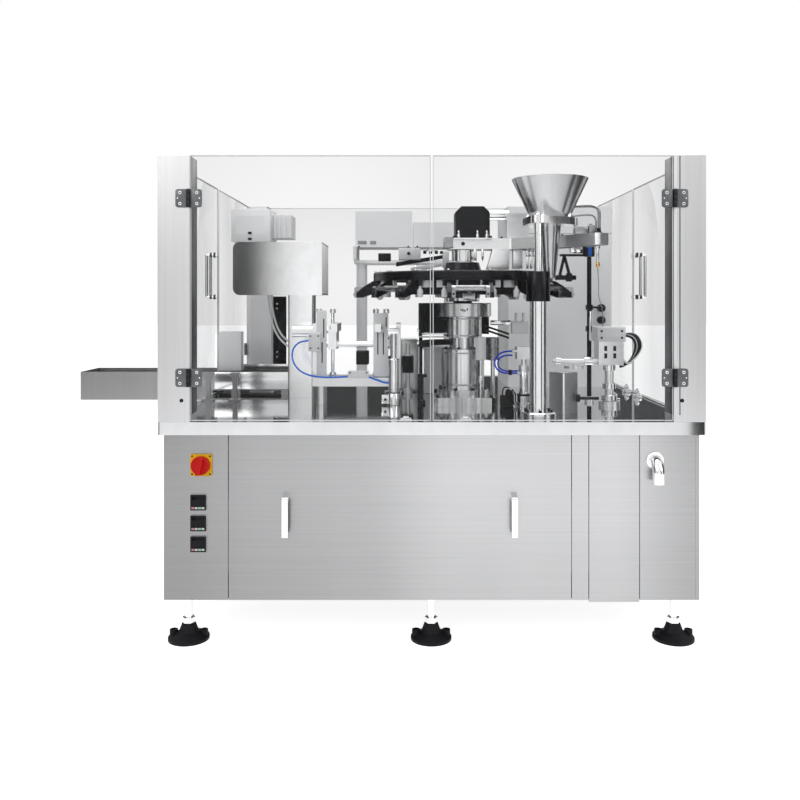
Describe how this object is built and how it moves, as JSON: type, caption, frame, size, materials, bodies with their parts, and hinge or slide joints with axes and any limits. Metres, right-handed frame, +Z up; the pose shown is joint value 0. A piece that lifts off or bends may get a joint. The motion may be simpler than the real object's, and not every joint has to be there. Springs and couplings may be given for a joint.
{
  "type": "premade pouch packing machine",
  "caption": "Rotary premade pouch filler: clip carousel, lifting funnel, sealing jaws and outfeed belt behind clear guard doors on a steel cabinet with levelling feet.",
  "frame": {"origin": "middle of the outer foot bolts on the floor, under the middle of the table", "axes": "+X to the right of someone who faces the control side, +Y to the rear, +Z up"},
  "size_m": [2.271, 1.5815, 1.528],
  "materials": {
    "brushed_steel": "brushed stainless steel sheet",
    "polished_steel": "polished stainless steel",
    "turned_steel": "turned and ground steel",
    "dark_steel": "black oxide steel",
    "painted_frame": "grey painted steel tube",
    "clear_acrylic": "clear acrylic sheet with polished edges",
    "cast_hinge": "cast zinc hinge",
    "black_rubber": "moulded black foot",
    "yellow_plastic": "yellow switch plate",
    "red_plastic": "red switch knob",
    "black_plastic": "black moulded plastic",
    "white_paint": "white painted sheet",
    "aluminium": "anodised aluminium",
    "blue_hose": "blue polyurethane tube",
    "belt_rubber": "dark conveyor belt",
    "motor_paint": "dark blue motor paint"
  },
  "bodies": {
    "machine_frame": {"base_frame": "painted_frame", "table_top": "polished_steel", "cabinet_body": "brushed_steel", "control_panel": "brushed_steel", "right_covers": "brushed_steel", "foot_pads": "black_rubber", "foot_screws": "turned_steel", "guard_posts": "brushed_steel", "rear_guard": "clear_acrylic", "post_hinges": "cast_hinge", "switch_body": "yellow_plastic", "temperature_controllers": "black_plastic", "vent_elbow": "polished_steel", "drive_motor": "motor_paint", "indexer_case": "dark_steel", "carousel_column": "polished_steel", "conveyor_frame": "brushed_steel", "conveyor_belt": "belt_rubber", "seal_station": "aluminium", "filler_post": "polished_steel", "overhead_arm": "aluminium", "arm_drive": "black_plastic", "printer_housing": "polished_steel", "bag_feeder": "white_paint", "opening_station": "aluminium", "electrical_cabinet": "brushed_steel", "left_air_hose": "blue_hose", "right_air_hose": "blue_hose"},
    "left_front_door": {"front_door_left": "clear_acrylic", "front_hinge_left": "cast_hinge"},
    "right_front_door": {"front_door_right": "clear_acrylic", "front_hinge_right": "cast_hinge"},
    "service_cover": {"service_panel": "brushed_steel", "service_handles": "polished_steel"},
    "switch_knob": {"switch_knob": "red_plastic"},
    "carousel": {"carousel_disc": "dark_steel"},
    "drive_shaft": {"cam_shaft": "turned_steel"},
    "filling_funnel": {"funnel": "brushed_steel", "funnel_lift": "polished_steel"},
    "outer_jaw": {"seal_jaw_outer": "aluminium"},
    "inner_jaw": {"seal_jaw_inner": "aluminium"},
    "belt_roller": {"conveyor_roller": "turned_steel"},
    "upper_regulator": {"regulator_upper": "black_plastic"},
    "lower_regulator": {"regulator_lower": "black_plastic"},
    "left_front_side_door": {"side_door_left_front": "clear_acrylic", "side_fittings_left_front": "polished_steel"},
    "left_rear_side_door": {"side_door_left_rear": "clear_acrylic", "side_fittings_left_rear": "polished_steel"},
    "right_front_side_door": {"side_door_right_front": "clear_acrylic", "side_fittings_right_front": "polished_steel"},
    "right_rear_side_door": {"side_door_right_rear": "clear_acrylic", "side_fittings_right_rear": "polished_steel"},
    "clip_1": {"clip_rocker_1": "polished_steel"},
    "clip_2": {"clip_rocker_2": "polished_steel"},
    "clip_3": {"clip_rocker_3": "polished_steel"},
    "clip_4": {"clip_rocker_4": "polished_steel"},
    "clip_5": {"clip_rocker_5": "polished_steel"},
    "clip_6": {"clip_rocker_6": "polished_steel"},
    "clip_7": {"clip_rocker_7": "polished_steel"},
    "clip_8": {"clip_rocker_8": "polished_steel"}
  },
  "joints": [
    {"name": "left_front_door_swing", "type": "hinge", "parent": "machine_frame", "child": "left_front_door", "pos_m": [-0.753, -0.782, 1.116], "axis": [0, 0, -1], "range_deg": [0, 110]},
    {"name": "right_front_door_swing", "type": "hinge", "parent": "machine_frame", "child": "right_front_door", "pos_m": [0.753, -0.782, 1.116], "axis": [0, 0, 1], "range_deg": [0, 110]},
    {"name": "left_front_side_door_swing", "type": "hinge", "parent": "machine_frame", "child": "left_front_side_door", "pos_m": [-0.857, -0.688, 1.116], "axis": [0, 0, 1], "range_deg": [0, 105]},
    {"name": "left_rear_side_door_swing", "type": "hinge", "parent": "machine_frame", "child": "left_rear_side_door", "pos_m": [-0.857, 0.688, 1.116], "axis": [0, 0, -1], "range_deg": [0, 105]},
    {"name": "right_front_side_door_swing", "type": "hinge", "parent": "machine_frame", "child": "right_front_side_door", "pos_m": [0.857, -0.688, 1.116], "axis": [0, 0, -1], "range_deg": [0, 105]},
    {"name": "right_rear_side_door_swing", "type": "hinge", "parent": "machine_frame", "child": "right_rear_side_door", "pos_m": [0.857, 0.688, 1.116], "axis": [0, 0, 1], "range_deg": [0, 105]},
    {"name": "service_cover_pull", "type": "slide", "parent": "machine_frame", "child": "service_cover", "axis": [0, -1, 0], "range_m": [0, 0.25]},
    {"name": "main_switch_turn", "type": "hinge", "parent": "machine_frame", "child": "switch_knob", "pos_m": [-0.72, -0.756, 0.563], "axis": [0, 1, 0], "range_deg": [0, 90]},
    {"name": "carousel_turn", "type": "hinge", "parent": "machine_frame", "child": "carousel", "pos_m": [0.13, -0.265, 1.162], "axis": [0, 0, 1], "continuous": true},
    {"name": "drive_shaft_turn", "type": "hinge", "parent": "machine_frame", "child": "drive_shaft", "pos_m": [0.13, -0.265, 0.52], "axis": [1, 0, 0], "continuous": true},
    {"name": "funnel_lower", "type": "slide", "parent": "machine_frame", "child": "filling_funnel", "axis": [0, 0, -1], "range_m": [0, 0.05]},
    {"name": "outer_jaw_close", "type": "slide", "parent": "machine_frame", "child": "outer_jaw", "axis": [1, 0, 0], "range_m": [0, 0.066]},
    {"name": "inner_jaw_close", "type": "slide", "parent": "machine_frame", "child": "inner_jaw", "axis": [-1, 0, 0], "range_m": [0, 0.066]},
    {"name": "belt_roller_turn", "type": "hinge", "parent": "machine_frame", "child": "belt_roller", "pos_m": [-0.535, 0.082, 0.752], "axis": [0, 1, 0], "continuous": true},
    {"name": "upper_regulator_turn", "type": "hinge", "parent": "machine_frame", "child": "upper_regulator", "pos_m": [0.76, 0.25, 1.042], "axis": [0, 1, 0], "range_deg": [-135, 135]},
    {"name": "lower_regulator_turn", "type": "hinge", "parent": "machine_frame", "child": "lower_regulator", "pos_m": [0.76, 0.25, 0.99], "axis": [0, 1, 0], "range_deg": [-135, 135]},
    {"name": "clip_1_open", "type": "hinge", "parent": "carousel", "child": "clip_1", "pos_m": [0.37395, -0.50895, 1.118], "axis": [-0.7071, -0.7071, 0], "range_deg": [0, 18], "stiffness_Nm_per_rad": 2, "springref_deg": -8.59},
    {"name": "clip_2_open", "type": "hinge", "parent": "carousel", "child": "clip_2", "pos_m": [0.475, -0.265, 1.118], "axis": [0, -1, 0], "range_deg": [0, 18], "stiffness_Nm_per_rad": 2, "springref_deg": -8.59},
    {"name": "clip_3_open", "type": "hinge", "parent": "carousel", "child": "clip_3", "pos_m": [0.37395, -0.02105, 1.118], "axis": [0.7071, -0.7071, 0], "range_deg": [0, 18], "stiffness_Nm_per_rad": 2, "springref_deg": -8.59},
    {"name": "clip_4_open", "type": "hinge", "parent": "carousel", "child": "clip_4", "pos_m": [0.13, 0.08, 1.118], "axis": [1, 0, 0], "range_deg": [0, 18], "stiffness_Nm_per_rad": 2, "springref_deg": -8.59},
    {"name": "clip_5_open", "type": "hinge", "parent": "carousel", "child": "clip_5", "pos_m": [-0.11395, -0.02105, 1.118], "axis": [0.7071, 0.7071, 0], "range_deg": [0, 18], "stiffness_Nm_per_rad": 2, "springref_deg": -8.59},
    {"name": "clip_6_open", "type": "hinge", "parent": "carousel", "child": "clip_6", "pos_m": [-0.215, -0.265, 1.118], "axis": [0, 1, 0], "range_deg": [0, 18], "stiffness_Nm_per_rad": 2, "springref_deg": -8.59},
    {"name": "clip_7_open", "type": "hinge", "parent": "carousel", "child": "clip_7", "pos_m": [-0.11395, -0.50895, 1.118], "axis": [-0.7071, 0.7071, 0], "range_deg": [0, 18], "stiffness_Nm_per_rad": 2, "springref_deg": -8.59},
    {"name": "clip_8_open", "type": "hinge", "parent": "carousel", "child": "clip_8", "pos_m": [0.13, -0.61, 1.118], "axis": [-1, 0, 0], "range_deg": [0, 18], "stiffness_Nm_per_rad": 2, "springref_deg": -8.59}
  ],
  "couplings": [
    {"joint": "inner_jaw_close", "follows": "outer_jaw_close", "ratio": 1},
    {"joint": "drive_shaft_turn", "follows": "carousel_turn", "ratio": 8}
  ]
}
